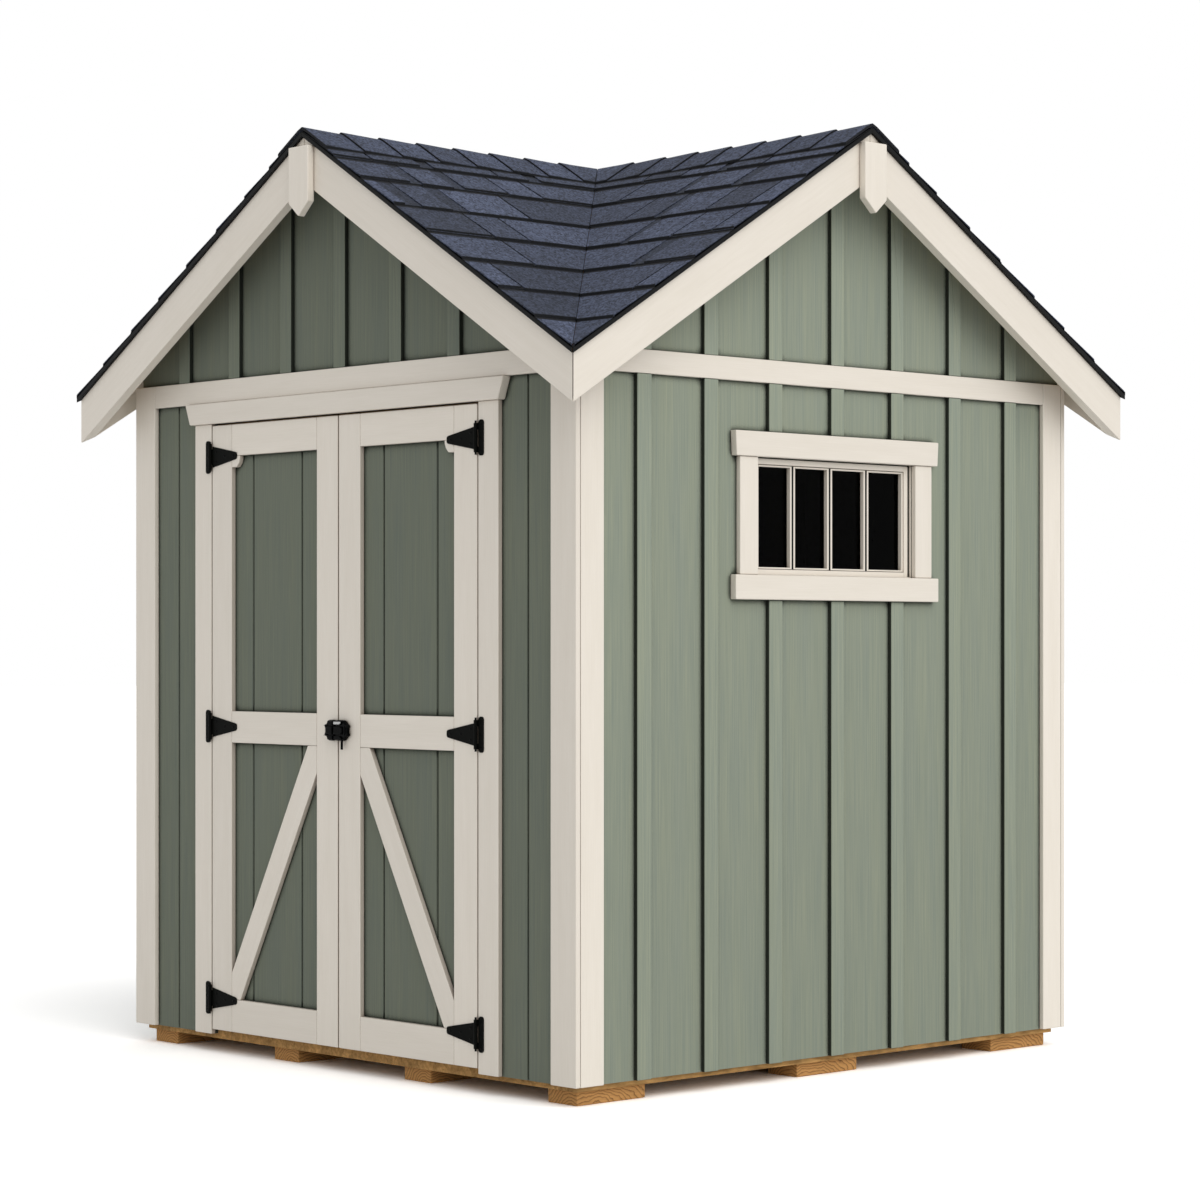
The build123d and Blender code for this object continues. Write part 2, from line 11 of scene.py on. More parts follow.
import bpy
import numpy as np
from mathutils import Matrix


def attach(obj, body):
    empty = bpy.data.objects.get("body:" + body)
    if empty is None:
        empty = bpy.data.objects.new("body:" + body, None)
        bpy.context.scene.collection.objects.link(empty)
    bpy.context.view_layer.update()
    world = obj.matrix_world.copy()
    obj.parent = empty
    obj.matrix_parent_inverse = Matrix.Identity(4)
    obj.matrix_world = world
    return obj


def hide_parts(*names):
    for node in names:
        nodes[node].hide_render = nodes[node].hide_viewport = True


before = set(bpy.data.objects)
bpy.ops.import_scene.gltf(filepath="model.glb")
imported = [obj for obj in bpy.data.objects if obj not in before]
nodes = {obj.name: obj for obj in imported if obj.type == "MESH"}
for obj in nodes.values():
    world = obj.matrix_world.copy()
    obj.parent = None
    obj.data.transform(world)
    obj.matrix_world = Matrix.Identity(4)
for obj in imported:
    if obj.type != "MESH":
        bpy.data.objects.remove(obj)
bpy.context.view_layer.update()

# %% [markdown]
# ## One way to add a node, one way to write a colour
# A material is a small graph. Adding its nodes by hand takes three lines each, so one helper adds a node,
# sets its properties and fills its sockets: a number or colour is written, the output of another node is
# linked. Colours are noted as they are seen on a screen, in sRGB hex, and the shader wants linear light,
# so a second helper converts them by the sRGB curve.

# %% Helpers for materials
def linear(hex_colour):
    """sRGB hex to linear: c / 12.92 in the toe, else ((c + 0.055) / 1.055) to the power 2.4; alpha 1."""
    c = np.array([int(hex_colour[i:i + 2], 16) for i in (1, 3, 5)]) / 255
    return (*np.where(c <= 0.04045, c / 12.92, ((c + 0.055) / 1.055) ** 2.4).tolist(), 1.0)


def add_node(kind, sockets, tree=None, **settings):
    """Add one shader node: settings are its properties, sockets its inputs.

    An input is the output of another node, a hex colour or a plain value. The node goes to the tree of its
    first linked input, so only a node without one has to be told its tree.
    """
    linked = [value for value in sockets.values() if isinstance(value, bpy.types.NodeSocket)]
    tree = tree or linked[0].id_data
    node = tree.nodes.new("ShaderNode" + kind)
    for key, value in settings.items():
        setattr(node, key, value)
    for key, value in sockets.items():
        if value in linked:
            tree.links.new(value, node.inputs[key])
        else:
            node.inputs[key].default_value = linear(value) if isinstance(value, str) else value
    return node


def new_tree(name):
    """An empty procedural material and its node tree."""
    material = bpy.data.materials.new(name)
    material.use_nodes = True
    material.node_tree.nodes.clear()
    print("material:", name)
    return material, material.node_tree


print("cream paint in linear light:", np.round(linear("#E8E0D4")[:3], 3).tolist())

# %% [markdown]
# Most nodes of a paint do one of a few jobs: compute with two numbers, carry a range over to another range,
# mix two colours, stretch a pattern to its real size, or give noise. A short function for each job returns
# the output that the next node needs, so a recipe reads like a list of steps. The last one closes a graph.

# %% Short names for the usual nodes
per_mm = 1000.0


def compute(operation, *values, kind="Math"):
    """A Math or VectorMath node: one value from one or more."""
    return add_node(kind, dict(enumerate(values)), operation=operation).outputs[0]


def remap(value, low, high, start=0.0, stop=1.0):
    """Carry a value from the range start to stop over to the range low to high, and hold it at the ends."""
    return add_node("MapRange", {0: value, 1: start, 2: stop, 3: low, 4: high}).outputs[0]


def blend(share, first, second, way="MIX"):
    """Two colours in one: the first at a share of 0, and at 1 the second or, by MULTIPLY, their product."""
    sockets = {0: share, 6: first, 7: second}
    return add_node("Mix", sockets, data_type="RGBA", blend_type=way).outputs[2]


def stretched(place, sizes_mm):
    """A place in metres divided, axis by axis, by the size of a pattern in millimetres."""
    return compute("MULTIPLY", place, tuple(per_mm / mm for mm in sizes_mm), kind="VectorMath")


def noise(place, detail=2.0, size_mm=per_mm, **sockets):
    """Noise between 0 and 1, with knots a given size apart; the size is left out for a stretched place."""
    sockets = {"Vector": place, "Scale": per_mm / size_mm, "Detail": detail, **sockets}
    return add_node("TexNoise", sockets).outputs["Fac"]


def object_place(tree):
    """Where a point is on the shed, in metres."""
    return add_node("TexCoord", {}, tree).outputs["Object"]


def board_tone(tree):
    """The number stored on the points of a piece."""
    return add_node("Attribute", {}, tree, attribute_name="tone").outputs["Fac"]


def openness(tree, reach):
    """How open a point is, from 0 in a nook to 1 where nothing is nearer than the reach in metres."""
    return add_node("AmbientOcclusion", {"Distance": reach}, tree, samples=6).outputs["AO"]


def close_graph(colour, height, strength, depth, sockets):
    """Relief of a depth in metres from a height between 0 and 1, the shader over it and the output."""
    relief = add_node("Bump", {"Strength": strength, "Distance": depth, "Height": height})
    sockets = {"Base Color": colour, "Normal": relief.outputs[0], **sockets}
    shader = add_node("BsdfPrincipled", sockets)
    add_node("OutputMaterial", {"Surface": shader.outputs[0]})


print("a pattern of 4 mm repeats", per_mm / 4, "times in a metre")

# %% [markdown]
# ## Cream paint on the trim boards
# The trim is planed softwood under cream eggshell paint. The film hides the colour of the wood but not
# its grain: the harder winter wood stands proud as fine lines along each board, made by stretched noise.
# Each board carries its own map, called grain, in metres along and across it, and a number, called tone, for
# how light it came out. A tone below zero marks the sides of boards, which are browned as painted shade, and
# inner corners are browned as painted shade too.

# %% Cream eggshell paint
cream_paint, tree = new_tree("cream_eggshell_paint_on_softwood")
grain_map = add_node("UVMap", {}, tree, uv_map="grain").outputs["UV"]
tone = board_tone(tree)
# Grain lines 4 mm apart and 150 mm long, about three times as coarse as on the wood, so that they show.
lines = noise(stretched(grain_map, (150, 4, 1000)), 3.0, Roughness=0.6)
# Slow drift of the paint film, patches about 350 mm long and 40 mm wide.
drift = noise(stretched(grain_map, (350, 40, 1000)))
grain_shade = blend(lines, "#D9D0C2", "#EEE7DD")
film_shade = blend(drift, "#DDD5C8", "#EFE8DE")
both_shades = blend(0.5, grain_shade, film_shade)
cream = blend(1.0, both_shades, remap(tone, 0.96, 1.03), "MULTIPLY")
# Painted shade: within 25 mm of the next board, and on the sides of boards with a tone below zero, the paint
# is browned.
nook_shade = remap(openness(tree, 0.025), 0.75, 0.0, 0.3, 0.56)
side_shade = remap(tone, 0.75, 0.0, -1.0, 0.0)
cream = blend(compute("MAXIMUM", nook_shade, side_shade), cream, "#7F6B59")
close_graph(cream, lines, 0.25, 0.0008,
            {"Roughness": remap(lines, 0.38, 0.56), "IOR": 1.5, "Specular IOR Level": 0.75})

# %% [markdown]
# ## Sage paint on the siding
# The walls are plywood sheets under a matt grey-green paint, with faint upright streaks of the brush and slow
# patches a hand wide. The wall with the window faces the key light, and its paint is made lighter as painted
# sunlight, about one and a half times as light and more towards the top. The inner face of a sheet is bare,
# which shows when the doors stand open.
# All this can be told apart by place, so the material reads Object coordinates: the outside of every sheet is
# more than 1.19 m from the middle of the plan. The battens came out a little lighter, which is their tone. A
# tone below zero marks their sides, which are painted near black as shade, and grooves and inner corners are
# darkened as painted shade too.

# %% Sage matt paint
sage_paint, tree = new_tree("sage_matt_paint_on_plywood")
place, tone = object_place(tree), board_tone(tree)
# Brush and veneer streaks 5 mm apart and 400 mm tall.
streaks = noise(stretched(place, (5, 5, 400)), 4.0, Roughness=0.65)
# Patches of the film about 60 mm wide and 700 mm tall.
patches = noise(stretched(place, (60, 60, 700)), 3.0)
streak_shade = blend(remap(streaks, 0.0, 1.0, 0.32, 0.68), "#636C64", "#7F8372")
patch_shade = blend(remap(patches, 0.0, 1.0, 0.3, 0.7), "#6E756D", "#767B6D")
sage = blend(0.5, streak_shade, patch_shade)
bare_veneer = blend(streaks, "#9C7B52", "#CDAE82")
x, y, z = add_node("SeparateXYZ", {0: place}).outputs
# Painted sunlight: on the window wall, outside x = 1.19 m, the paint is 1.48 to 1.72 times as light, more
# with height.
painted_sunlight = remap(x, 1.0, remap(z, 1.48, 1.72, 0.6, 3.0), 1.192, 1.198)
painted_sunlight_and_tone = compute("MULTIPLY", painted_sunlight, remap(tone, 1.0, 1.1))
sage = blend(1.0, sage, painted_sunlight_and_tone, "MULTIPLY")
from_middle = compute("MAXIMUM", compute("ABSOLUTE", x), compute("ABSOLUTE", y))
outside = compute("GREATER_THAN", from_middle, 1.188)
# Painted shade: grooves and inner corners within 30 mm of the next surface, and batten sides with a tone
# below zero, darken towards near black.
nook_and_side_shade = remap(openness(tree, 0.03), 0.97, 0.0, 0.6, 0.76)
nook_and_side_shade = compute("MAXIMUM", nook_and_side_shade, remap(tone, 0.92, 0.0, -1.0, 0.0))
skin = blend(outside, bare_veneer, blend(nook_and_side_shade, sage, "#1B1F1A"))
close_graph(skin, streaks, 0.3, 0.0008, {"Roughness": 0.78, "IOR": 1.45, "Specular IOR Level": 0.12})

# %% [markdown]
# ## Bare softwood
# Studs, rafters, plates and the floor are sawn softwood, with bands of pale spring wood and darker winter
# wood along their length. One function makes the material for a given direction of the grain: noise that
# is squeezed across the grain and stretched along it.

# %% Sawn softwood in three directions
def sawn_softwood(name, stretch_mm, pale, dark, roughness, patch_light=(0.78, 1.15)):
    """Bands from noise on Object coordinates, each axis divided by its own length in millimetres."""
    material, tree = new_tree(name)
    place = object_place(tree)
    bands = noise(stretched(place, stretch_mm), 5.0, Roughness=0.6, Distortion=0.6)
    # Dirt and drying patches about 70 mm across.
    patches = noise(place, 3.0, 70)
    wood = blend(remap(bands, 0.0, 1.0, 0.3, 0.7), dark, pale)
    worn = blend(1.0, wood, remap(patches, *patch_light, 0.3, 0.7), "MULTIPLY")
    close_graph(worn, bands, 0.4, 0.001, {"Roughness": roughness, "Specular IOR Level": 0.3})
    return material


upright_softwood = sawn_softwood("sawn_softwood_upright", (9, 9, 260), "#D2B083", "#A57C4C", 0.75)
lying_softwood = sawn_softwood("sawn_softwood_lying", (240, 240, 9), "#CDAA7C", "#9E7647", 0.75)
deck_boards = sawn_softwood("softwood_deck_with_dirt", (14, 120, 14), "#CC9F64", "#8A6638", 0.85, (0.7, 1.3))

# %% [markdown]
# ## Pads of treated timber
# The shed stands on offcuts of treated timber, sawn so that growth rings show as dark arcs on every face.
# Rings are distances from a growth centre. The pads stand on a grid of 730 by 1015 mm, so wrapping the
# Object coordinates into one cell of the grid gives every pad its own centre, and noise in the unwrapped
# coordinates bends the rings of each pad in another way.

# %% Treated timber with growth rings
pad_timber, tree = new_tree("treated_pine_offcut")
place = object_place(tree)
cell = compute("WRAP", place, (0.73, 0.5075, 1.0), (0.0, -0.5075, -1.0), kind="VectorMath")
from_heart = compute("SUBTRACT", cell, (0.405, -0.085, -0.02), kind="VectorMath")
# Growth rings 11 mm apart, and twice as wide along the grain.
ring_place = stretched(from_heart, (11, 22, 9))
radius = add_node("VectorMath", {0: ring_place}, operation="LENGTH").outputs["Value"]
bend = remap(noise(place, 3.0, 70), 0.0, 4.0)
part_of_ring = compute("FRACT", compute("ADD", radius, bend))
# Winter wood darkens towards the end of a ring and stops sharply.
winter = compute("POWER", part_of_ring, 4.0)
# Saw marks and fibres 3 mm apart.
fibres = noise(stretched(place, (3, 40, 3)), 3.0)
ring_shade = blend(winter, "#C69459", "#5E3E1E")
pad_colour = blend(1.0, ring_shade, remap(fibres, 0.75, 1.2), "MULTIPLY")
close_graph(pad_colour, fibres, 0.5, 0.001, {"Roughness": 0.8, "Specular IOR Level": 0.3})

# %% [markdown]
# ## Asphalt shingle
# A shingle is felt soaked in asphalt and pressed full of stone granules: a speckle of slate blue, grey and
# nearly black. From far each tab has its own shade, because the granules come from different batches. The
# tone of a tab is stored on its points, the speckle is a cell pattern.

# %% Slate blue granules
granules, tree = new_tree("slate_blue_granules_on_asphalt")
place, tone = object_place(tree), board_tone(tree)
# Granules are 1 to 2 mm on the roof. Drawn 7 mm wide, the speckle still shows at this distance.
speckle = add_node("TexVoronoi", {"Vector": place, "Scale": per_mm / 7}, feature="F1")
grain = add_node("SeparateColor", {0: speckle.outputs["Color"]}).outputs[0]
# Clouds of darker blend about 60 mm wide.
clouds = noise(place, 4.0, 60, Roughness=0.6)
tab_shade = blend(tone, "#292E3B", "#484F63")
light = compute("MULTIPLY", remap(grain, 0.35, 1.7), remap(clouds, 0.8, 1.2, 0.3, 0.7))
# A tone below zero darkens to an eighth: painted shade on the butts, the slits, the foot of each tab's sides,
# the band below each butt and the edges and ends of the ridge caps; on the cut edges it is also the black of
# the asphalt.
light = compute("MULTIPLY", light, remap(tone, 0.12, 1.0, -1.0, 0.0))
slate = blend(1.0, tab_shade, light, "MULTIPLY")
close_graph(slate, grain, 0.6, 0.0015, {"Roughness": 0.9, "Specular IOR Level": 0.3})

# %% [markdown]
# ## Black metal
# The hinges are iron with a dull, grainy powder coat, the latch is glossy enamel, and the drip edge is
# painted aluminium with a soft shine. All are paint films, so none is metallic to the eye. A dull film
# scatters most of the mirror image away, so its specular level is low, and it stays black under a white sky.
# The black strips of painted shade round the panes and a painted highlight of bright steel on the latch share
# the recipe.

# %% Powder coat, enamel and painted aluminium
def metal_paint(name, deep, worn, roughness, shine, grain_mm, grain_depth):
    """A film: two shades mixed by noise of one grain size, which also moves roughness and relief."""
    material, tree = new_tree(name)
    grain = noise(object_place(tree), 2.0, grain_mm)
    rough = remap(grain, roughness - 0.08, roughness + 0.08)
    close_graph(blend(grain, deep, worn), grain, 0.4, grain_depth,
                {"Roughness": rough, "IOR": 1.5, "Specular IOR Level": shine})
    return material


powder_coat = metal_paint("black_powder_coat_on_iron", "#060706", "#0F100E", 0.5, 0.03, 4, 0.0004)
black_enamel = metal_paint("black_gloss_enamel_on_iron", "#020303", "#060707", 0.2, 0.035, 12, 0.0001)
edge_paint = metal_paint("charcoal_painted_aluminium", "#0B0C0D", "#131415", 0.5, 0.1, 30, 0.0001)
# Black strips of painted shade in the gaps of the window.
shade_strip_paint = metal_paint("black_painted_shade_strip", "#0B0B0B", "#141414", 0.6, 0.1, 20, 0.0001)
# A painted highlight for the upper ridge of the latch.
bright_steel = metal_paint("painted_highlight_bright_steel", "#A9ABAC", "#D3D4D4", 0.4, 0.6, 5, 0.0001)

# %% [markdown]
# ## Glass
# The pane is tinted float glass, and it looks black because the room behind it has no light. Its mirror
# image of the bright surroundings is kept weak by a low index of refraction, because the real pane shows
# hardly any.

# %% Float glass
pane_glass, tree = new_tree("tinted_float_glass")
# Dust film in patches about 80 mm wide: it only roughens the surface.
dull = remap(noise(object_place(tree), 2.0, 80), 0.0, 0.06)
pane = add_node("BsdfPrincipled", {"Base Color": "#343837", "Roughness": dull, "IOR": 1.08,
                                         "Transmission Weight": 1.0})
add_node("OutputMaterial", {"Surface": pane.outputs[0]})

# %% [markdown]
# ## Finishes for the pieces of the frame that stay
# Much of the frame has the right shape already: some siding, studs, rafters, roof decks and hinges. Those
# keep their mesh and only change their material. The boards that need eased edges or more shape get new
# pieces further on, which then stand for their node.

# %% Paint the frame
finish_of = {
    sage_paint: ("back_wall", "left_wall"),
    upright_softwood: ("wall_studs", "gable_posts", "door_stops"),
    lying_softwood: ("sole_plates", "top_plates", "lintels", "ridge_beams", "valley_rafters", "jack_rafters",
                     "front_roof_deck", "right_roof_deck", "back_roof_deck", "left_roof_deck"),
    deck_boards: ("floor_deck",),
    edge_paint: ("drip_edges",),
    powder_coat: ("hinge_plates", "left_hinge_straps", "right_hinge_straps"),
}
for finish, names in finish_of.items():
    for name in names:
        nodes[name].data.materials.clear()
        nodes[name].data.materials.append(finish)
print("painted", sum(len(names) for names in finish_of.values()), "nodes of the frame")

# %% [markdown]
# ## Boards on a wall
# Almost every new piece is a board on one of the four walls, so it pays to draw on the wall itself: u runs
# along the wall to the right as seen from outside, z goes up, and n is the distance from the middle of the
# plan. Three unit vectors turn (u, z, n) in millimetres into a point of the scene. A solid is a stack of
# rings, each a closed loop of points: quads join each ring to the next, and a flat face closes each end.

# %% Wall directions and the ring solid
MM = 0.001
outwards = {"front": (0, -1, 0), "right": (1, 0, 0), "back": (0, 1, 0), "left": (-1, 0, 0)}
upright, level, through = (0, 1, 0), (1, 0, 0), (0, 0, 1)
shuffle = np.random.default_rng(11)


def wall_axes(side):
    """Rows: along the wall (up crossed with outwards), up, and outwards."""
    up, out = np.array((0.0, 0.0, 1.0)), np.array(outwards[side], float)
    return np.stack((np.cross(up, out), up, out))


def ring_solid(side, rings, grain=upright, tone=None, painted_side_tone=None):
    """Join rings of (u, z, n) points into a closed solid, with its grain map and tone.

    Point i of ring j makes a quad with point i + 1 and the same two of ring j + 1. The grain map is the
    distance along the grain and the distance across it, moved by a random step for every board. The tone is
    one number, or an array of rings by points. A painted side tone, for painted shade, is given to the first
    three rings, which are the back and sides of a board.
    """
    rings = np.asarray(rings, float)
    count, size = rings.shape[:2]
    index = np.arange(count * size).reshape(count, size)
    low, high = index[:-1], index[1:]
    quads = np.stack((low, np.roll(low, -1, 1), np.roll(high, -1, 1), high), -1).reshape(-1, 4)
    faces = quads.tolist() + [index[0, ::-1].tolist(), index[-1].tolist()]
    points = rings.reshape(-1, 3)
    along = np.array(grain, float)
    across = np.ones(3) - along.sum() * along
    grain_map = np.stack((points @ along, points @ across), 1) * MM + shuffle.uniform(0, 40, 2)
    shade = np.array(np.broadcast_to(shuffle.uniform() if tone is None else tone, (count, size)))
    if painted_side_tone is not None:
        shade[:3] = painted_side_tone
    return points @ wall_axes(side) * MM, faces, grain_map, shade.ravel()


print("wall directions of the right side:", wall_axes("right").tolist())

# %% [markdown]
# A sawn edge is never knife sharp: planing and paint leave a small round that catches the light. It could
# come from a Bevel modifier, but here the edge is part of the formula. The outline is softened at its
# corners, and near each face the ring is moved inwards, so the thickness of the board has a profile.

# %% Planed boards
def anticlockwise(outline):
    """Turn a loop round if its area, half the sum of u z' - u' z over its edges, is negative."""
    outline = np.asarray(outline, float)
    after = np.roll(outline, -1, 0)
    area = (outline[:, 0] * after[:, 1] - outline[:, 1] * after[:, 0]).sum()
    return outline if area > 0 else outline[::-1]


def directions(outline):
    """Unit vectors from each point of a loop to the next."""
    to_next = np.roll(outline, -1, 0) - outline
    return to_next / np.linalg.norm(to_next, axis=1, keepdims=True)


def soften(corners, reach):
    """Round each corner by a short curve: (1-s)^2 start + 2s(1-s) corner + s^2 end, with s = 0, 1/2, 1."""
    to_next = directions(corners)
    start = corners - reach * np.roll(to_next, 1, 0)
    end = corners + reach * to_next
    s = np.array((0.0, 0.5, 1.0))[None, :, None]
    curve = (1 - s) ** 2 * start[:, None] + 2 * s * (1 - s) * corners[:, None] + s ** 2 * end[:, None]
    return curve.reshape(-1, 2)


def inset(outline, distance):
    """Move a loop inwards: each point slides by the sum of its two edge normals over 1 + their product."""
    to_next = directions(outline)
    normal = np.stack((-to_next[:, 1], to_next[:, 0]), 1)
    before = np.roll(normal, 1, 0)
    return outline + distance * (normal + before) / (1 + (normal * before).sum(1, keepdims=True))


def eased_rings(outline, near, far, ease):
    """A loop (u, z) at five depths n, moved inwards near the back and near the face."""
    depths = (near, near + ease, far - ease, far - 0.3 * ease, far)
    insets = (0.5 * ease, 0.0, 0.0, 0.3 * ease, ease)
    return np.stack([np.column_stack((inset(outline, i), np.full(len(outline), d)))
                     for d, i in zip(depths, insets)])


def planed_board(side, corners, near, far, grain=upright, ease=2.5, tone=None, painted_side_tone=None):
    """A board from its outline (u, z) and two depths n, with eased edges.

    The corners are softened over 1.3 times the inset, so that the inmost ring never crosses itself.
    """
    outline = soften(anticlockwise(corners), 1.3 * ease)
    return ring_solid(side, eased_rings(outline, near, far, ease), grain, tone, painted_side_tone)


def rectangle(u0, u1, z0, z1):
    """Four corners, anticlockwise."""
    return np.array(((u0, z0), (u1, z0), (u1, z1), (u0, z1)), float)


print("a softened square has", len(soften(rectangle(0, 1, 0, 1), 0.1)), "points")

# %% [markdown]
# Many boards make one piece: all battens of a wall, all trim of the window. This helper joins the solids into
# one mesh, stores the grain map and the tone, gives the material, lets the piece ride on its body and hides
# the nodes that it stands for.

# %% From solids to a piece
def add_object(name, data):
    """Show a mesh, a light or a camera in the scene."""
    thing = bpy.data.objects.new(name, data)
    bpy.context.scene.collection.objects.link(thing)
    return thing


def make_piece(name, solids, material, slot, *stands_for, body="shed"):
    """One mesh from many solids: their point lists follow each other, and face numbers shift along."""
    points = np.concatenate([s[0] for s in solids])
    starts = np.cumsum([0] + [len(s[0]) for s in solids[:-1]])
    faces = [[i + start for i in face] for s, start in zip(solids, starts.tolist()) for face in s[1]]
    mesh = bpy.data.meshes.new(name)
    mesh.from_pydata(points, [], faces)
    corner_point = np.empty(len(mesh.loops), np.int32)
    mesh.loops.foreach_get("vertex_index", corner_point)
    grain_map = np.concatenate([s[2] for s in solids])[corner_point]
    mesh.uv_layers.new(name="grain").data.foreach_set("uv", grain_map.astype(np.float32).ravel())
    shade = np.concatenate([s[3] for s in solids]).astype(np.float32)
    mesh.attributes.new("tone", "FLOAT", "POINT").data.foreach_set("value", shade)
    mesh.materials.append(material)
    piece = add_object(name, mesh)
    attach(piece, body)
    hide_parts(*stands_for)
    print(f"{name}: {len(solids)} solids, {len(mesh.polygons)} faces, size",
          np.round(np.ptp(points, axis=0), 3).tolist())


trim, siding, iron = (cream_paint, "trim_paint"), (sage_paint, "siding_paint"), (black_enamel, "black_iron")
print("finishes with their slots:", trim[1], siding[1], iron[1])

# %% [markdown]
# ## The main levels
# The frame was drawn from a few levels, repeated here in millimetres so that the boards land exactly where
# their nodes are. The roof is one formula: the underside of the deck falls from the ridge by the slope
# times the distance from it.

# %% Levels and the roof line
siding_face, trim_face, frame_face = 1200.0, 1219.0, 1184.0
wall_foot, casing_top, frieze_bottom, frieze_top = 67.0, 2275.0, 2355.0, 2432.0
doorway, corner_inner = 742.0, 1097.0
slope = tan(radians(31.21))
ridge_underside = frieze_top + 56.7 + slope * siding_face


def under_roof(u):
    """Height of the underside of the roof deck at distance u from a ridge."""
    return ridge_underside - slope * np.abs(u)


print("ridge underside at", round(ridge_underside, 1), "mm")

# %% [markdown]
# ## Pads
# Twelve offcuts carry the floor, three rows of four. They lie along the depth of the shed, so on the
# front wall's axes they are short boards with a large thickness.

# %% Ground pads
half_width, half_length, pad_height = 70, 150, 48
pads = [planed_board("front", rectangle(x - half_width, x + half_width, 0, pad_height),
                     row - half_length, row + half_length, through, 3.0)
        for x in (-1095, -365, 365, 1095) for row in (-1015, 0, 1015)]
make_piece("pads", pads, pad_timber, "bare_timber", "ground_pads")

# %% [markdown]
# ## Grooved siding and door panels
# Beside the doors and in their leaves the plywood shows V grooves that make it look like boards. A groove
# could be a dark line in the paint, but it would vanish in other light. Here the sheet is a profile in
# plan, the front face with its grooves and then the back, carried upwards from its foot to its top.

# %% Sheets with V grooves
groove_width, groove_depth = 11.0, 8.0
clearance = 0.5


def grooved_sheet(u0, u1, grooves, z0, z1):
    """Profile in plan carried up z: along the face with three points per groove, then back inside."""
    steps = np.array((-0.5, 0.0, 0.5)) * groove_width
    u = np.concatenate(([u0], np.add.outer(grooves, steps).ravel(), [u1, u1, u0]))
    v_shape = np.tile((siding_face, siding_face - groove_depth, siding_face), len(grooves))
    n = np.concatenate(([siding_face], v_shape, [siding_face, frame_face, frame_face]))
    return ring_solid("front", [np.column_stack((u, np.full(len(u), z), n)) for z in (z0, z1)], tone=0.0)


behind_frieze = 2362.0
shoulder, peak = under_roof(siding_face) - clearance, under_roof(0) - clearance
gable_foot = behind_frieze + clearance
front_gable = [(-siding_face, gable_foot), (siding_face, gable_foot), (siding_face, shoulder), (0, peak),
               (-siding_face, shoulder)]
over_door = rectangle(-doorway + clearance, doorway - clearance, casing_top, behind_frieze)
front_sheets = [grooved_sheet(-siding_face, -doorway, [-968.0], wall_foot, behind_frieze),
                grooved_sheet(doorway, siding_face, [968.0], wall_foot, behind_frieze)]
front_sheets += [planed_board("front", outline, frame_face, siding_face, tone=0.0)
                 for outline in (over_door, front_gable)]
make_piece("front_siding", front_sheets, *siding, "front_wall_sides", "front_wall_over_door")

# The window wall is one sheet with an opening. Its outline goes round the opening through a slit that is
# half a millimetre wide and hidden behind the middle batten.
opening_half, opening_foot, opening_head, slit = 394.0, 1710.0, 2106.0, 0.25
end, shoulder = frame_face, under_roof(frame_face) - clearance
window_wall = [(slit, wall_foot), (end, wall_foot), (end, shoulder), (0, peak), (-end, shoulder),
               (-end, wall_foot), (-slit, wall_foot), (-slit, opening_foot), (-opening_half, opening_foot),
               (-opening_half, opening_head), (opening_half, opening_head), (opening_half, opening_foot),
               (slit, opening_foot)]
window_sheet = planed_board("right", window_wall, frame_face, siding_face, ease=0.1, tone=0.0)
make_piece("window_wall_siding", [window_sheet], *siding,
           "right_wall_sides", "right_wall_under_window", "right_wall_over_window")

leaves = (("left", -1), ("right", 1))
leaf_inner, leaf_outer, leaf_foot, leaf_top = 3.5, 736.0, 85.0, 2268.0
for side, hand in leaves:
    edges, grooves = np.sort(np.array(((leaf_inner, leaf_outer), (228.0, 512.0))) * hand)
    sheet = grooved_sheet(*edges, grooves, leaf_foot, leaf_top)
    make_piece(side + "_grooved_panel", [sheet], *siding, side + "_door_panel", body=side + "_door")

# %% [markdown]
# ## Battens
# Battens cover the joints of the sheets on three walls and in all four gables. Behind the window they stop at
# its sill and start again over its head, and in the gables their tops follow the roof. Their sides are
# painted dark as shade, which draws the upright lines of the walls.

# %% Wall and gable battens
batten_face, batten_half = siding_face + 16.0, 32.0
batten_places = np.arange(-3, 4) * 305.0
window_low, window_high, window_reach = 1627.0, 2190.0, 540.0


def batten(side, outline):
    """A board on the sheet: the first three rings, up to the eased front edge, have tone -1, painted shade.
    """
    tone = np.append(np.full(3, -1.0), np.full(2, shuffle.uniform(0.6, 1.0)))
    return planed_board(side, outline, siding_face, batten_face, tone=tone[:, None])


for side in ("right", "back", "left"):
    battens = []
    for u in batten_places:
        runs = [(wall_foot, frieze_bottom)]
        if side == "right" and abs(u) <= window_reach:
            runs = [(wall_foot, window_low), (window_high, frieze_bottom)]
        battens += [batten(side, rectangle(u - batten_half, u + batten_half, *run)) for run in runs]
    make_piece(side + "_battens", battens, *siding, side + "_wall_battens")

gable_strips = []
for side in outwards:
    for u in batten_places:
        foot = [(u - batten_half, frieze_top), (u + batten_half, frieze_top)]
        top = [(v, under_roof(v) - clearance) for v in (u + batten_half, u - batten_half)]
        if u == 0:
            top.insert(1, (0.0, peak))
        gable_strips.append(batten(side, foot + top))
make_piece("gable_strips", gable_strips, *siding, "gable_battens")

# %% [markdown]
# ## Corner boards and frieze
# The corner boards close the ends of the siding: the front and back ones run over the edges of the side
# ones, with a narrow dark joint between them. The frieze ties them together under the gables. The
# grain runs along each board: upright in the corners, level in the frieze.

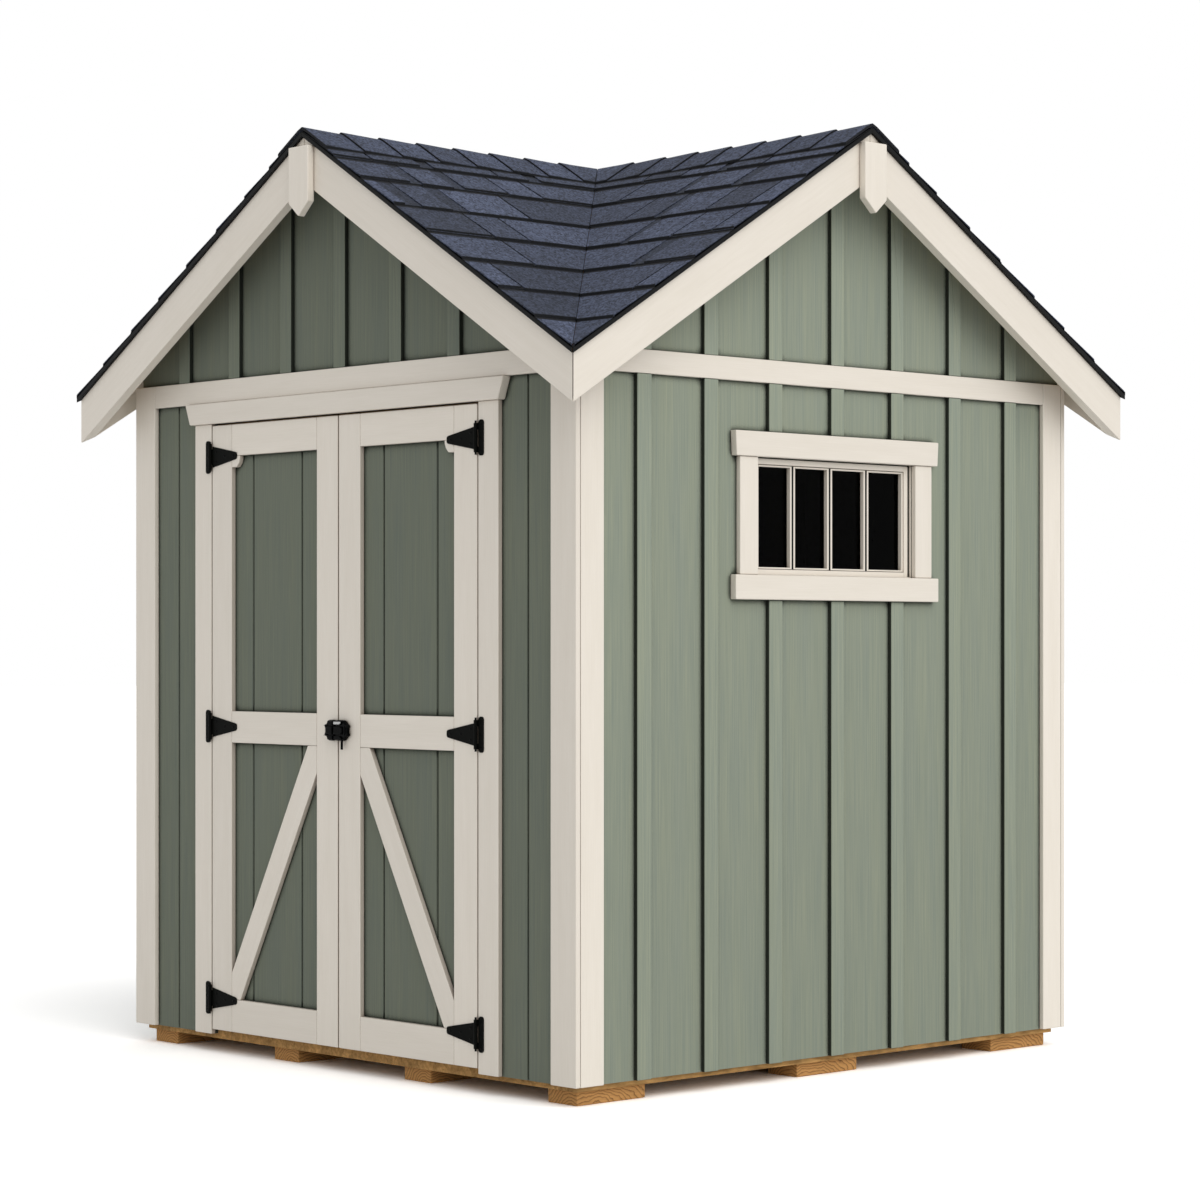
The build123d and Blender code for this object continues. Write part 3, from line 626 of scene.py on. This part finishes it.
# %% Corner boards and frieze boards
corner_joint, frieze_joint = 2.2, 0.8
corners, friezes = [], []
for side in outwards:
    outer = trim_face if side in ("front", "back") else siding_face - corner_joint
    corners += [planed_board(side, rectangle(*run, wall_foot, frieze_top), siding_face, trim_face)
                for run in ((-outer, -corner_inner), (corner_inner, outer))]
    end = corner_inner - frieze_joint
    # The front one comes down to the head board of the door.
    foot = frieze_bottom - 4 if side == "front" else frieze_bottom
    friezes.append(planed_board(side, rectangle(-end, end, foot, frieze_top), siding_face, trim_face, level))
make_piece("corner_boards", corners, *trim, "corner_boards_front_back", "corner_boards_sides")
make_piece("friezes", friezes, *trim, "frieze_boards")

# %% [markdown]
# ## Barge boards with mitred feet
# A barge board hangs under each rake and meets the next one in a mitre at the roof's corner, where u
# equals n. The board is made too long, and then every point past the mitre slides back along the slope,
# which keeps its edges straight. The same function makes the black return of the metal edge, a thin strip
# that closes the overhang of the roof deck from below.

# %% Barge boards, edge returns and pendants
barge_near, barge_far, barge_drop = 1327.0, 1365.0, 160.0
return_far, pendant_face = 1373.8, barge_far + 28
peak_gap, mitre_gap = 0.6, 2.0


def rake_board(side, hand, near, far, top, drop, ease):
    """A board along the slope, from top to drop below the deck, its points past u = n - 2 on the mitre."""
    u = np.array((peak_gap, far)) * hand
    z = under_roof(u)
    outline = [(u[0], z[0] - drop), (u[1], z[1] - drop), (u[1], z[1] - top), (u[0], z[0] - top)]
    rings = eased_rings(soften(anticlockwise(outline), 1.6 * ease), near, far, ease)
    past = np.maximum(np.abs(rings[..., 0]) - (rings[..., 2] - mitre_gap), 0.0)
    rings[..., 0] -= hand * past
    rings[..., 1] += slope * past
    length = np.hypot(1.0, slope)
    return ring_solid(side, rings, (1 / length, -hand * slope / length, 0))


for side in outwards:
    barges = [rake_board(side, hand, barge_near, barge_far, 0, barge_drop, 2.5) for hand in (-1, 1)]
    make_piece(side + "_barges", barges, *trim, side + "_barge_boards")
returns = [rake_board(side, hand, barge_far + 0.2, return_far, 0.2, 1.8, 0.2)
           for side in outwards for hand in (-1, 1)]
make_piece("edge_returns", returns, edge_paint, "edge_metal")
pendant = [(-54, 3178), (-54, 2987), (0, 2939), (54, 2987), (54, 3178)]
pendants = [planed_board(side, pendant, barge_far, pendant_face, upright, 3.0) for side in outwards]
make_piece("pendants", pendants, *trim, "gable_pendants")

# %% [markdown]
# ## Door casing and head
# Two upright casings frame the doorway, and over them lies a thicker head board whose ends flare outwards.
# The sides of the casings are browned as painted shade, by a side shade tone.

# %% Casing
# A tone of -0.5 browns the sides of a board as painted shade.
side_shade_tone, casing_outer = -0.5, 842.0
casings = [planed_board("front", rectangle(*run, wall_foot, casing_top), siding_face, trim_face,
                        painted_side_tone=side_shade_tone)
           for run in ((-casing_outer, -doorway), (doorway, casing_outer))]
make_piece("casings", casings, *trim, "door_casings")
head_half, head_flare, head_top, head_face = 856.0, 884.0, 2350.4, 1234.0
door_head = [(-head_half, casing_top), (head_half, casing_top), (head_flare, head_top),
             (-head_flare, head_top)]
make_piece("head_board", [planed_board("front", door_head, siding_face, head_face, level, 3.0)],
           *trim, "door_head")

# %% [markdown]
# ## Door frames
# On each leaf, stiles, rails and a brace are planted on the grooved panel, and a small gusset sits in the
# upper corner. The brace rises from the hinge side to the meeting stile. The boards stop half a
# millimetre short of each other, so the joints draw hairlines. The right leaf is computed and the left
# one is its mirror image.

# %% Stiles, rails, braces and gussets
stile_outer, stile_inner, joint = 618.0, 121.5, 0.6
brace_foot, rail_low, rail_high, head_rail = 203.0, 1124.5, 1237.5, 2155.0
brace_across, brace_up, brace_head = 50.5, 93.8, rail_low - joint
brace = [(stile_outer, brace_foot), (stile_outer, brace_foot + brace_up),
         (stile_inner + brace_across, brace_head), (stile_inner, brace_head),
         (stile_inner, brace_head - brace_up), (stile_outer - brace_across, brace_foot)]
brace_slope = (rail_low - brace_foot) / (stile_inner - stile_outer)
brace_length = np.hypot(1.0, brace_slope)
# The gusset is 48 mm wide and 41 mm high, and its free corner is cut off.
gusset = np.array(((0, 0), (-48, 0), (-48, -10), (-42, -26.5), (-28, -41), (0, -41)))
leaf_boards = [
    (rectangle(leaf_inner, stile_inner - joint, leaf_foot, leaf_top), upright),
    (rectangle(stile_outer + joint, leaf_outer, leaf_foot, leaf_top), upright),
    (rectangle(stile_inner, stile_outer, leaf_foot, brace_foot - joint), level),
    (rectangle(stile_inner, stile_outer, rail_low, rail_high), level),
    (rectangle(stile_inner, stile_outer, head_rail, leaf_top), level),
    (brace, (1 / brace_length, brace_slope / brace_length, 0)),
    (gusset + (stile_outer, head_rail - clearance), upright),
]
# The sides of the leaf boards are browned as painted shade, like the casings.
for side, hand in leaves:
    boards = [planed_board("front", np.multiply(outline, (hand, 1)), siding_face, trim_face,
                           np.multiply(grain, (hand, 1, 1)), painted_side_tone=side_shade_tone)
              for outline, grain in leaf_boards]
    make_piece(side + "_leaf_boards", boards, *trim, side + "_door_frame", body=side + "_door")

# %% [markdown]
# ## Window
# The window has a thick head and sill, two jambs and a sash over one pane. The sash sits back from the trim
# and is stepped: a face board and, lower, a bead. Each of the four lights has its own ring of beads, so two
# beads with a black strip between them, painted shade in the gap, make an upright bar.

# %% Window trim, sash and bars
def window_board(u0, u1, z0, z1, near, far, grain=upright, ease=2.5):
    """A board on the window wall."""
    return planed_board("right", rectangle(u0, u1, z0, z1), near, far, grain, ease)


def border(u0, u1, z0, z1, stile, rail, near, far, ease):
    """Four boards round a rectangle, stiles full height and rails between them."""
    left, right = u0 + stile, u1 - stile
    boxes = ((u0, left, z0, z1, upright), (right, u1, z0, z1, upright),
             (left, right, z0, z0 + rail, level), (left, right, z1 - rail, z1, level))
    return [window_board(*box, near, far, grain, ease) for *box, grain in boxes]


thick_face, jamb_face, jamb_outer, sill_half = 1228.0, 1220.0, 480.0, 508.0
flared_head = [(-503, opening_head), (503, opening_head), (sill_half, window_high), (-sill_half, window_high)]
jamb_run = (opening_foot + clearance, opening_head - clearance, siding_face, jamb_face)
window_trim = [planed_board("right", flared_head, siding_face, thick_face, level, 3.0),
               window_board(-sill_half, sill_half, window_low, opening_foot, siding_face, thick_face, level,
                            3.0),
               window_board(-jamb_outer, -opening_half, *jamb_run),
               window_board(opening_half, jamb_outer, *jamb_run)]
make_piece("window_trim", window_trim, *trim, "window_head", "window_sill", "window_jambs")

pane_back, pane_face, bead_back, bead_face = 1165.0, 1169.0, 1169.3, 1185.5
sash_back, sash_face = 1163.0, 1191.0
sash_half, sash_foot, sash_top, light_half = 385.0, 1710.3, 2103.0, 366.0
sash_boards = border(-sash_half, sash_half, sash_foot, sash_top, 18.5, 19.5, sash_back, sash_face, 1.5)
# A thin lining hides the cut edge of the sheet, and two low strips are the floor of the groove round the
# lights.
for lining in ((-393.5, -390.5, sash_foot, 2105.7), (390.5, 393.5, sash_foot, 2105.7),
               (-390.5, 390.5, sash_foot, 1713.3)):
    sash_boards.append(window_board(*lining, 1191.2, 1199.6, upright, 1.0))
for strip in ((1729.9, 1731.7), (2081.4, 2083.4)):
    sash_boards.append(window_board(-light_half, light_half, *strip, bead_back, 1178, level, 0.5))
bar_places, shade_strip_half, light_run = (-193.0, -9.0, 175.0), 4.5, (1731.8, 2081.3)
light_starts = (-light_half - 0.3, *(u + shade_strip_half for u in bar_places))
light_ends = (*(u - shade_strip_half for u in bar_places), light_half + 0.3)
for start, end in zip(light_starts, light_ends):
    sash_boards += border(start, end, *light_run, 8.0, 5.5, bead_back, bead_face, 1.0)
make_piece("sash_with_bars", sash_boards, *trim, "window_sash")
# Black strips between the beads are painted shade.
shade_strips = [window_board(u - shade_strip_half, u + shade_strip_half, *light_run, bead_back, 1185, ease=1.0)
         for u in bar_places]
# The same black strip, painted shade, fills the gap between the sash and the opening at both sides and at the
# top.
for gap in ((-393.4, -385.2, 1710.4, 2105.6), (385.2, 393.4, 1710.4, 2105.6), (-385, 385, 2103.2, 2105.6)):
    shade_strips.append(window_board(*gap, bead_back, 1190, ease=0.8))
make_piece("glazing_shade_strips", shade_strips, shade_strip_paint, "black_iron")
pane = window_board(-light_half, light_half, 1730, 2083, pane_back, pane_face, ease=0.5)
make_piece("pane", [pane], pane_glass, "window_glass", "window_glass")

# %% [markdown]
# ## Shingles
# Each slope is laid in courses 175 mm apart. A course is a dark under layer with tabs of uneven width on top,
# so some gaps are slits, filled by a strip painted black as shade, and some are darker inset strips. Every
# strip is a wedge: thin where the next course covers it and thick at its lower edge, the butt. The butts, the
# foot of each tab's sides and a band just below the next butt are painted black as shade, which deepens the
# shadow lines. At the valley two slopes meet on the diagonal, so each course starts where n equals u.

# %% Courses and tabs
deck_rise, roof_edge, slit_width = 14.0, 1377.0, 11.0
butts = np.array((186, 327, 502, 677, 852, 1027, 1202, 1376.5))
heads = np.concatenate(([1.0], butts[:-1] - 30))
covers = np.concatenate(([133.0], np.full(len(butts) - 1, 30.0)))
tab_widths, strip_widths, strip_share, last_tab = (130, 290), (35, 75), 0.35, 90


def shingle_wedge(side, hand, head, cover, butt, n_span, heights, tone, from_valley=False):
    """Five rings down the slope: the head, both ends of the fade of the painted shadow band, above the butt,
    and the butt.

    Each ring goes from the deck up to its height over the deck, at the start and at the end of the strip.
    The butt may be skewed, so its distance from the ridge is one number or one for each end. The height grows
    evenly down to it. The foot of the sides, the band below the next butt and the whole butt have tone -1,
    painted shade.
    """
    band, butt = head + cover, np.full(2, butt)
    u = np.stack([np.full(2, at) for at in (head, band + 7, band + 12, butt - 4, butt)])
    n = np.tile(np.array(n_span, float), (5, 1))
    if from_valley:
        n[:, 0] = np.minimum(u[:, 0] + 1.5, roof_edge - 0.6)
    thick = heights[0] + (heights[1] - heights[0]) * (u - head) / (u[3] - head)
    thick[4] = heights[1] - 0.6
    low = under_roof(u) + deck_rise + 0.2
    high = under_roof(u) + deck_rise + thick
    u4, n4 = u[:, (0, 0, 1, 1)] * hand, n[:, (0, 0, 1, 1)]
    z4 = np.stack((low[:, 0], high[:, 0], high[:, 1], low[:, 1]), 1)
    rings = np.stack((u4, z4, n4), -1)
    # Tone -1 is painted shade: the head and the band below the next butt, the foot of both sides and the
    # whole butt.
    tones = np.full((5, 4), -1.0)
    tones[2:4, 1:3] = tone
    if hand < 0:
        rings, tones = rings[::-1], tones[::-1]
    return ring_solid(side, rings, through, tones)


def course(side, hand, head, cover, butt):
    """Under layer over the whole course, then tabs from the valley to the rake with slits or inset strips."""
    strips = [shingle_wedge(side, hand, head, cover, butt - 3, (0, roof_edge), (0.8, 7.0),
                            shuffle.uniform(0.0, 0.15), True)]
    start, from_valley = 0.0, True
    while start < roof_edge:
        end = (butt if from_valley else start) + shuffle.uniform(*tab_widths)
        gap = shuffle.uniform(*strip_widths) if shuffle.uniform() < strip_share else slit_width
        if end > roof_edge - last_tab:
            end, gap = roof_edge, 0.0
        skew = np.minimum(butt + shuffle.uniform(-8, 4) + shuffle.uniform(-2, 2, 2), roof_edge - 0.5)
        heights = (1.6, 13.7 - shuffle.uniform(0, 1.5))
        strips.append(shingle_wedge(side, hand, head, cover, skew, (start, end), heights,
                                    shuffle.uniform(0.15, 1.0), from_valley))
        if gap == 0.0:
            break
        # A slit is filled by a thin strip with tone -1, painted black as shade.
        if gap == slit_width:
            slit_run = (end + 0.2, end + gap - 0.2)
            strips.append(shingle_wedge(side, hand, head, cover, butt - 2, slit_run, (1.0, 8.0), -1.0))
        start, from_valley = end + gap, False
    return strips


roof_strips = [strip for side in outwards for hand in (-1, 1)
               for place in zip(heads, covers, butts) for strip in course(side, hand, *place)]
make_piece("shingle_courses", roof_strips, granules, "asphalt_shingle", "shingles")

# %% [markdown]
# ## Ridge caps
# Each ridge is closed by eight shingles bent over it, lapped so that their outer ends, which look at the
# gable, stand a few millimetres proud. The bend is a smooth curve: the height falls by the slope times the
# root of u squared plus a small radius squared. The cut edges and the outer end are painted black as shade,
# and near the long edges one more pair of points keeps that black off the top. At the middle, the caps of the
# four arms taper to a point.

# %% Bent caps
cap_half, cap_exposure, cap_lap, cap_thickness, cap_count = 134.0, 169.0, 18.0, 9.0, 8
bend_radius = 7.0


def ridge_cap(side, n_places, heights, tone):
    """Rings across the ridge at given n: along the underside from edge to edge, and back over the top."""
    t = np.concatenate(([-1.0], np.linspace(-0.97, 0.97, 13), [1.0]))
    cut = np.abs(t) == 1
    # Tone -1 paints the cut edges and the outer end black as shade.
    shade = np.tile(np.where(cut, -1, tone), (len(n_places), 2))
    shade[-1] = -1
    rings = []
    for n, height in zip(n_places, heights):
        u = t * min(cap_half, n - 1.0)
        top = ridge_underside + deck_rise + height - slope * np.sqrt(u ** 2 + bend_radius ** 2)
        loop_u = np.concatenate((u, u[::-1]))
        loop_z = np.concatenate((top - cap_thickness, top[::-1] - 1.5 * cut))
        rings.append(np.column_stack((loop_u, loop_z, np.full(len(loop_u), n))))
    return ring_solid(side, rings, through, shade)


caps = []
for side in outwards:
    for step in range(cap_count):
        outer = roof_edge - cap_exposure * step
        inner = outer - cap_exposure - cap_lap
        places, heights = (inner, outer - 4, outer), (13.5, 20.4, 20.0)
        if step == cap_count - 1:
            places, heights = (1.8, cap_half + 1, outer - 4, outer), (16.5, 18.0, 20.4, 20.0)
        caps.append(ridge_cap(side, places, heights, shuffle.uniform(0.4, 0.9)))
make_piece("bent_ridge_caps", caps, granules, "asphalt_shingle", "ridge_caps")

# %% [markdown]
# ## Latch
# A latch box with cut corners sits across the meeting stiles: its case and drop pin ride on the right leaf,
# the shorter keeper on the left leaf. A strip of bright steel on its upper ridge is a painted highlight.

# %% Latch case and keeper
middle = 1181.0


def circle(sides):
    """Cosines and sines of even steps round a circle."""
    turn = np.arange(sides) * 2 * np.pi / sides
    return np.cos(turn), np.sin(turn)


def bar(u, n, z0, z1, radius, sides=12):
    """An upright round bar: circles at its foot and top with a small bevel at both ends."""
    cos, sin = circle(sides)
    rings = [np.column_stack((u + r * cos, np.full(sides, z), n - r * sin))
             for z, r in ((z0, radius - 1), (z0 + 1, radius), (z1 - 1, radius), (z1, radius - 1))]
    return ring_solid("front", rings)


def latch_half(hand, reach):
    """Half an octagon from the meeting line outwards, with a band, two ridges, an end stop and two nubs.

    The reach shortens the half: its distance from the edge of the leaf is multiplied by it.
    """
    outlines = [
        ([(3.5, -36), (48, -36), (66, -19), (66, 19), (48, 36), (3.5, 36)], trim_face, 1237, 5.0),
        ([(3.5, -14), (42, -14), (52, -8), (52, 8), (42, 14), (3.5, 14)], 1234, 1245, 3.0),
        ([(3.5, 19), (36, 19), (44, 25), (44, 32), (3.5, 32)], 1234, 1243, 2.0),
        ([(3.5, -32), (44, -32), (44, -25), (36, -19), (3.5, -19)], 1234, 1243, 2.0),
        (rectangle(55, 62, -16, 16), 1234, 1241, 2.0),
        (rectangle(60, 72, 7.5, 20.5), 1222, 1238, 3.0),
        (rectangle(60, 72, -20.5, -7.5), 1222, 1238, 3.0),
    ]
    edge = np.array((leaf_inner, 0))
    return [planed_board("front", ((outline - edge) * (reach, 1) + edge) * (hand, 1) + (0, middle),
                         near, far, upright, ease) for outline, near, far, ease in outlines]


case = latch_half(1, 1.0) + [bar(37, 1232, 1115, 1150, 4.5)]
make_piece("latch_box", case, *iron, "latch_case", body="right_door")
make_piece("latch_box_keeper", latch_half(-1, 0.72), *iron, "latch_keeper", body="left_door")
# Painted highlight: a bright steel strip along the upper ridge of the case.
highlight_outline = np.array(((5, 21), (37, 21), (43, 25.5), (43, 30), (5, 30))) + (0, middle)
painted_highlight = planed_board("front", highlight_outline, 1242, 1244.5, level, 1.0)
make_piece("latch_box_painted_highlight_edge", [painted_highlight], bright_steel, "black_iron", body="right_door")

# %% [markdown]
# ## Screws
# Black screws hold the hinges: three in each plate and four in each strap. A screw head is a low dome, a
# quarter circle turned round its axis and closed by a small flat.

# %% Hinge screws
hinge_line, screw_foot, screw_radius, screw_height = 739.0, 1222.0, 4.5, 1.8
hinge_heights = (2155.0, 1181.0, 198.0)


def screw(u, z, sides=10):
    """Circles of radius r cos(a) at height h sin(a), with a from 0 to 80 degrees."""
    cos, sin = circle(sides)
    rings = [np.column_stack((u + screw_radius * np.cos(a) * cos, z + screw_radius * np.cos(a) * sin,
                              np.full(sides, screw_foot + screw_height * np.sin(a))))
             for a in np.radians((0, 30, 55, 80))]
    return ring_solid("front", rings)


for side, hand in leaves:
    strap_screws = [screw(hand * (hinge_line - away), z + lift)
                    for z in hinge_heights for away, lift in ((32, 18), (32, -18), (82, 0), (134, 0))]
    make_piece(side + "_strap_screws", strap_screws, *iron, body=side + "_door")
plate_screws = [screw(hand * (hinge_line + 20.5), z + lift)
                for hand in (-1, 1) for z in hinge_heights for lift in (-44, 0, 44)]
make_piece("plate_screws", plate_screws, *iron)

# %% [markdown]
# ## Floor, light and camera
# The shed stands on a pale floor in soft light. A wide sun from the right and above is the key, and a
# white sky fills the rest. The floor is paler to the camera than to the light that it throws back, so it
# runs into the white background and keeps the shadow.

# %% Floor and sky
def looking(tree):
    """1 for a ray that looks, straight, by a mirror or through glass, and 0 for one that gathers light."""
    ray = add_node("LightPath", {}, tree).outputs
    seen = compute("MAXIMUM", ray["Is Camera Ray"], ray["Is Glossy Ray"])
    return compute("MAXIMUM", seen, ray["Is Transmission Ray"])


pale_floor, tree = new_tree("pale_studio_floor")
matt = add_node("BsdfDiffuse", {"Color": remap(looking(tree), 0.8, 1.6)})
add_node("OutputMaterial", {"Surface": matt.outputs[0]})
floor_mesh = bpy.data.meshes.new("studio_floor")
floor_mesh.from_pydata(np.array(((-1, -1, 0), (1, -1, 0), (1, 1, 0), (-1, 1, 0))) * 90.0, [], [[0, 1, 2, 3]])
floor_mesh.materials.append(pale_floor)
studio_floor = add_object("studio_floor", floor_mesh)

sky = bpy.data.worlds.new("white_studio")
sky.use_nodes = True
sky.node_tree.nodes.clear()
tree = sky.node_tree
air = add_node("Background", {"Color": "#FFFFFF", "Strength": remap(looking(tree), 0.57, 1.0)})
add_node("OutputWorld", {"Surface": air.outputs[0]})
bpy.context.scene.world = sky
print("floor and sky are set")

# %% Key light and camera
key = bpy.data.lights.new("key_light", "SUN")
key.energy = 1.57
key.angle = radians(70)
key.color = (1.0, 0.985, 0.955)
add_object("key_light", key).rotation_euler = (0.0, radians(52), radians(-4))

camera = bpy.data.cameras.new("camera")
camera.sensor_width = 36.0
camera.lens = 95.82
camera.shift_y = 0.0384
camera.clip_end = 300.0
camera_object = add_object("camera", camera)
camera_object.location = (8.706, -8.0408, 1.4714)
camera_object.rotation_euler = (radians(90), 0.0, radians(47.231))
bpy.context.scene.camera = camera_object
bpy.context.scene.view_settings.view_transform = "Standard"
print("camera at", list(camera_object.location))
